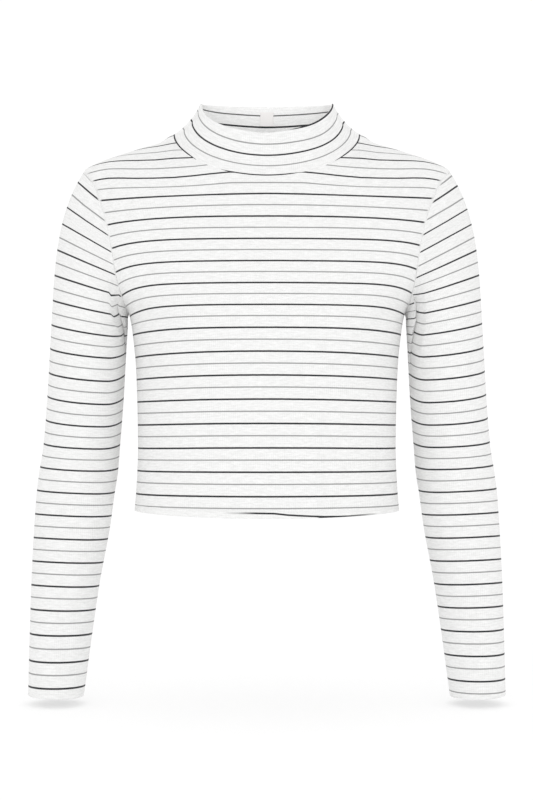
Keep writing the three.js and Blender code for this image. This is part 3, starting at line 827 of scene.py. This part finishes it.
def sleeve_patch(side):
    even = np.arange(sleeve_columns) / sleeve_columns * 2 * math.pi
    turn = even + column_crowding * np.sin(even)
    start, away = armhole_ring(turn, side)
    tube_top = sleeve_sections["drop"][0]
    cuff = sleeve_sections["drop"][-1] - fold_round
    end = sleeve_place(turn, tube_top)
    arrive = unit(sleeve_place(turn, tube_top + heading_step) - end)
    leave = unit(unit(end - start) + np.array([cap_lean, 0, 0]))
    part = np.linspace(0, 1, cap_rings + 1)[:, None, None]
    cap = sweep_between(start, end, leave, arrive, part)
    drops = np.concatenate([np.linspace(tube_top, cuff - hem_deep, arm_rings)[1:],
                            np.linspace(cuff - hem_deep + hem_step, cuff, cuff_rings)])
    arm = sleeve_place(turn[None, :], drops[:, None])
    reach = cuff_reach + cuff_inner_reach * (1 - np.cos(turn)) / 2
    arm_drop = drops[:, None] + reach * ease((drops[:, None] - reach_start) / (cuff - reach_start))
    arm[..., 2] += drops[:, None] - arm_drop
    points = np.concatenate([cap, arm])
    normals = ring_normals(points)
    normals[0] = clear_of_seam(normals[0], away)
    tilted = part[..., 0] ** 2 * sleeve_sections["tilt"][0] * (cap[..., 1] - sleeve_sections["middle"][0])
    ring_drop = np.concatenate([tilted - cap[..., 2], arm_drop])
    degrees = np.broadcast_to(np.degrees(turn), ring_drop.shape)
    front_fold, front_pull = underarm_fold(underarm_folds[side], degrees, -points[..., 2])
    other = "left" if side == "right" else "right"
    behind_drop = -points[..., 2] - behind_lower
    back_fold, back_pull = underarm_fold(underarm_folds[other], 360 - degrees, behind_drop)
    on_front = degrees <= 180
    ring_drop = ring_drop + stripe_rise(turn, ring_drop) - np.where(on_front, front_pull, back_pull)
    stripes = sleeve_stripe_count(side, ring_drop, points[..., 0])
    moved = sleeve_hollows(turn, -points[..., 2], sleeve_at["deep"](ring_drop))
    folded = np.zeros_like(points)
    folded[..., 1] = np.where(on_front, -front_fold, back_fold)
    calm = np.clip(np.linspace(0, 1, len(points))[:, None] * calm_cap, 0, 1)
    from_seam = np.cumsum(np.linalg.norm(np.diff(points, axis=0, prepend=points[:1]), axis=2), axis=0)
    points = points + normals * (moved * calm)[..., None] + folded * ease(from_seam / flap_start)[..., None]
    if side == "right":
        points, normals = points * np.array([-1, 1, 1]), normals * np.array([-1, 1, 1])
    wall = np.where(ring_drop > cuff - hem_deep, hem_turned, cloth)
    patch = Patch(*(from_half_way(layer) for layer in (points, normals, stripes, wall)))
    dye = 1 - np.exp(-((stripes - missing_grey) / missing_width) ** 4)
    dye = dye * ease(from_seam / seam_pale - pale_from)
    patch.dye = patch.lining_dye_and_painted_inside = from_half_way(dye)
    finish_edge(patch, "top", folded_edge, False)
    finish_edge(patch, "bottom", turned_in, True)
    return patch


sleeve_left = sew_wall("sleeve_left_jersey", sleeve_patch("left"), around=True)
sleeve_right = sew_wall("sleeve_right_jersey", sleeve_patch("right"), around=True, inside_out=True)
for sleeve, node in ((sleeve_left, "sleeve_left"), (sleeve_right, "sleeve_right")):
    sleeve.data.materials.append(jersey)
    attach(sleeve, "root")
    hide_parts(node)


# Neck band: a straight strip of the jersey folded double along its top edge and sewn round the neckline.
# It stands up as a funnel that flares into the shoulders, lower at the front than at the back.
band_wall = 0.0024
band_half = 0.0745
band_reach = {"front": 0.042, "back": 0.054}
band_up = {"front": -0.0054, "side": 0.0339, "back": 0.0382}
band_columns = 192
band_rings = 30
# By degrees from the centre front round over the left shoulder: where the seam and the fold cut the band's
# stripes, how far in and up the worn fold is pulled, and where the fold cuts the stripes on the inside
band_cut = {
    "turn": [0, 8, 17, 22, 27, 34, 45, 50, 55, 62, 72, 82, 95, 130, 180, 225, 270, 298, 308, 312, 330, 337,
             350, 360],
    "seam": [-0.05] * 3 + [0.14, 0.15, 0.15, 0.14] + [-0.05] * 12 + [0.14, 0.14] + [-0.05] * 3,
    "fold": [3.915, 3.915, 3.915, 3.92, 3.94, 3.985, 4.0, 4.0, 4.0, 4.0, 4.0, 4.0, 4.0, 3.80, 3.65, 3.60, 3.57,
             3.70, 3.75, 3.77, 3.85, 3.88, 3.91, 3.915],
    "pulled_in": [0, 0.0002, 0.0006, 0.0009, 0.0014, 0.0020, 0.0028, 0.0030, 0.0030, 0.0028, 0.0018,
                  0.0006] + [0] * 12,
    "pulled_up": [0.0006, 0.0012, 0.0020, 0.0022, 0.0022, 0.0020, 0.0016, 0.0012, 0.0010, 0.0008, 0.0005,
                  0.0002] + [0] * 6 + [0.0004, 0.0006, 0.0012, 0.0012, 0.0008, 0.0006],
    "inside": [4.2, 4.2, 4.2, 4.2, 4.2, 4.2, 4.25, 4.3, 4.3, 4.3, 4.35, 4.4, 4.42, 4.30, 4.17, 4.34, 4.70, 4.55,
               4.45, 4.42, 4.3, 4.25, 4.2, 4.2],
}
evening_rounds = 12
# Above 1, this dye paints the band's inside: painted shade on its grey stripes and a stronger painted glow
inside_painted_shade_and_glow = 1.52
below_last_grey = 0.76
seam_late = 8


def round_band(columns, name):
    """A column of the band's table, read round the band and evened out."""
    values = np.interp(np.arange(columns) / columns * 360, band_cut["turn"], band_cut[name])
    for _ in range(evening_rounds):
        values = (np.roll(values, 1) + 2 * values + np.roll(values, -1)) / 4
    return values


def neckline_ring(columns):
    """The neckline from the centre front round the left side to the back."""
    quarter = columns // 4
    share = np.linspace(0, neck_share, quarter + 1)
    front_x, front_z = top_edge(share, "front")
    back_x, back_z = top_edge(share, "back")
    x = np.concatenate([front_x, back_x[::-1][1:], -back_x[1:], -front_x[::-1][1:-1]])
    z = np.concatenate([front_z, back_z[::-1][1:], back_z[1:], front_z[::-1][1:-1]])
    place = np.arange(columns)
    return clear_ring(x, z, (place <= quarter) | (place > 3 * quarter), [quarter, 3 * quarter])


def fold_ring(columns):
    turn = np.arange(columns) / columns * 2 * math.pi
    forward = np.cos(turn)
    reach = np.where(forward > 0, band_reach["front"], band_reach["back"])
    up = np.where(forward > 0, band_up["front"], band_up["back"])
    x = (band_half - round_band(columns, "pulled_in")) * np.sin(turn)
    z = band_up["side"] + (up - band_up["side"]) * np.abs(forward) + round_band(columns, "pulled_up")
    return np.stack([x, -reach * forward, z], axis=-1)


def band_rings_in_place():
    start, away = neckline_ring(band_columns)
    end = fold_ring(band_columns)
    arrive = unit(2 * unit(end - start) - away)
    part = np.linspace(0, 1, band_rings + 1)[:, None, None]
    points = sweep_between(start, end, away, arrive, part)
    normals = ring_normals(points)
    normals[0] = clear_of_seam(normals[0], away)
    return points, normals


def band_patch():
    points, normals = band_rings_in_place()
    seam, fold, inside, pulled_in, pulled_up = (
        round_band(band_columns, name) for name in ("seam", "fold", "inside", "pulled_in", "pulled_up"))
    steps = np.linalg.norm(np.diff(points, axis=0), axis=2)
    climb = np.concatenate([np.zeros_like(steps[:1]), np.cumsum(steps, axis=0)])
    plain_share = climb / (climb[-1] - np.hypot(pulled_in, pulled_up))
    stretched = below_last_grey + (1 - below_last_grey) * (plain_share - below_last_grey) / (
        plain_share[-1] - below_last_grey)
    share = np.where(plain_share > below_last_grey, stretched, plain_share)
    stripes = seam * (1 - share) ** seam_late + fold * share
    wall = np.full_like(stripes, band_wall)
    patch = Patch(*(from_half_way(layer) for layer in (points, normals, stripes, wall)))
    patch.lining = from_half_way(inside + (climb[-1] - climb) / stripe_pitch)
    patch.lining_dye_and_painted_inside = np.full_like(climb, inside_painted_shade_and_glow)
    finish_edge(patch, "top", folded_edge, False)
    finish_edge(patch, "bottom", turned_in, True)
    return patch


neck_band = sew_wall("neck_band_jersey", band_patch(), around=True)
neck_band.data.materials.append(jersey)
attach(neck_band, "root")
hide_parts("neck_band")


# Label: a blank woven tape in off-white, its ends cut with heat and its long edges bound. It lies inside the
# band at the centre back and hangs a little free towards its lower end.
label_half = 0.0078
label_top = 0.13
label_bottom = 0.41
label_gap = 0.0005
label_wall = 0.0009
label_hang = 0.0007
label_bow = 0.35
label_reach = 8
label_rows = 40
label_columns = 36
tape_white = (0.83, 0.81, 0.80, 1)
tape_shade = (0.74, 0.72, 0.71, 1)
pick = 0.00042
warp = 0.000252
selvedge = 0.0009
selvedge_thick = 0.0002
selvedge_soft = 0.7


def inside_band(x, below_fold, off):
    """Points on the band's inner side at the centre back, lifted off it, and which way is outwards there."""
    points, normals = band_rings_in_place()
    middle = band_columns // 2
    ring = (1 - below_fold) * band_rings
    rows = np.arange(band_rings + 1)
    columns = range(middle + label_reach, middle - label_reach - 1, -1)
    flat = [np.stack([np.interp(ring, rows, grid[:, column, axis]) for column in columns], axis=-1)
            for grid in (points, normals) for axis in range(3)]
    place = [np.array([np.interp(x, flat[0][k], layer[k]) for k in range(len(ring))]) for layer in flat]
    outer, outward = np.stack(place[:3], axis=-1), unit(np.stack(place[3:], axis=-1))
    return outer - outward * (band_wall + off)[..., None], outward


def label_patch():
    x = np.linspace(-label_half, label_half, label_columns + 1)
    below_fold = np.linspace(label_bottom, label_top, label_rows + 1)
    free = (below_fold[:, None] - label_top) / (label_bottom - label_top)
    off = label_gap + label_hang * free ** 2 * (1 - label_bow * (x / label_half) ** 2)
    points, outward = inside_band(x, below_fold, off)
    selvedge_rise = ease((np.abs(x) - (label_half - selvedge)) / selvedge * 2)
    wall = np.broadcast_to(label_wall - selvedge_thick + selvedge_thick * selvedge_rise, points.shape[:2])
    patch = Patch(points, outward, np.zeros(points.shape[:2]), wall)
    rise = np.linalg.norm(np.diff(points, axis=0, prepend=points[:1]), axis=2)
    patch.stripes = patch.lining = np.cumsum(rise, axis=0) / stripe_pitch
    return patch


def label_tape():
    """Off-white tape woven in fine picks across, with a painted glow like the band's."""
    material, shader, start = new_finish("label_tape")
    cut, across, up = cut_ways(start)
    picks = (up * (1 / pick)).math("PINGPONG", 0.5) * 2.0
    ends = (across * (1 / warp)).math("PINGPONG", 0.5) * 2.0
    fluff = specks(cut, 700.0, 3.0)
    edge = across.math("ABSOLUTE").between(label_half - selvedge, label_half - selvedge * selvedge_soft)
    # Painted shade: darker between the picks; the fluff is the tape's own uneven tone, and the colour is darker
    # along the long edges
    colour = ((1 - picks) * 0.3 + fluff * 0.3 + edge * 0.3).mixed(tape_white, tape_shade)
    relief = {"Strength": 0.7, "Distance": 0.0001, "Height": picks * 0.5 + ends * 0.25 + fluff * 0.2}
    # Painted glow: the tape gives off a little of its own white as light
    finish_shader(shader, colour, relief, {"Emission Color": tape_white, "Emission Strength": 0.14,
                                           "Roughness": 0.55, "Sheen Weight": 0.2})
    return material


neck_label = sew_wall("neck_label_tape", label_patch())
neck_label.data.materials.append(label_tape())
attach(neck_label, "root")
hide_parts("neck_label")


# Floor and light: a pale studio sweep just below the cuffs. A broad soft lamp stands in front of the garment,
# and even light comes from all round.
floor_drop = 0.640
sweep_wide = 9.0
sweep_front = -5.0
sweep_back = 4.6
sweep_radius = 1.0
sweep_top = 3.0
sweep_steps = 16

profile = [(sweep_front, -floor_drop), (sweep_back, -floor_drop)]
for k in range(1, sweep_steps + 1):
    turn = k / sweep_steps * math.pi / 2
    sweep_rise = sweep_radius * (1 - math.cos(turn))
    profile.append((sweep_back + sweep_radius * math.sin(turn), -floor_drop + sweep_rise))
profile.append((sweep_back + sweep_radius, sweep_top))

sweep_points = [(side * sweep_wide / 2, y, z) for y, z in profile for side in (-1, 1)]
sweep_faces = [(2 * k, 2 * k + 1, 2 * k + 3, 2 * k + 2) for k in range(len(profile) - 1)]
sweep_mesh = bpy.data.meshes.new("studio_sweep")
sweep_mesh.from_pydata(sweep_points, [], sweep_faces)
for face in sweep_mesh.polygons:
    face.use_smooth = True
studio_sweep = bpy.data.objects.new("studio_sweep", sweep_mesh)
bpy.context.collection.objects.link(studio_sweep)
paper, paper_shader, _ = new_finish("studio_paper")
paper_shader.inputs["Base Color"].default_value = (0.45, 0.45, 0.45, 1)
paper_shader.inputs["Roughness"].default_value = 1.0
paper_shader.inputs["Specular IOR Level"].default_value = 0.0
paper_shader.inputs["Emission Color"].default_value = (1, 1, 1, 1)
paper_shader.inputs["Emission Strength"].default_value = 0.58
studio_sweep.data.materials.append(paper)

world = bpy.data.worlds.new("studio_air")
bpy.context.scene.world = world
world.use_nodes = True
air = world.node_tree.nodes["Background"].inputs
air["Color"].default_value = (1, 1, 1, 1)
air["Strength"].default_value = 0.97
bpy.context.scene.view_settings.view_transform = "Standard"

lamp_away = 3.2
lamp_up = 0.5
lamp_aim = -0.3
lamp = bpy.data.lights.new("front_soft", "AREA")
lamp.shape = "RECTANGLE"
lamp.size, lamp.size_y = 2.6, 1.8
lamp.energy = 17
lamp_stand = bpy.data.objects.new("front_soft", lamp)
bpy.context.collection.objects.link(lamp_stand)
lamp_stand.location = (0, -lamp_away, lamp_up)
lamp_stand.rotation_euler = (math.atan2(lamp_away, lamp_up - lamp_aim), 0, 0)
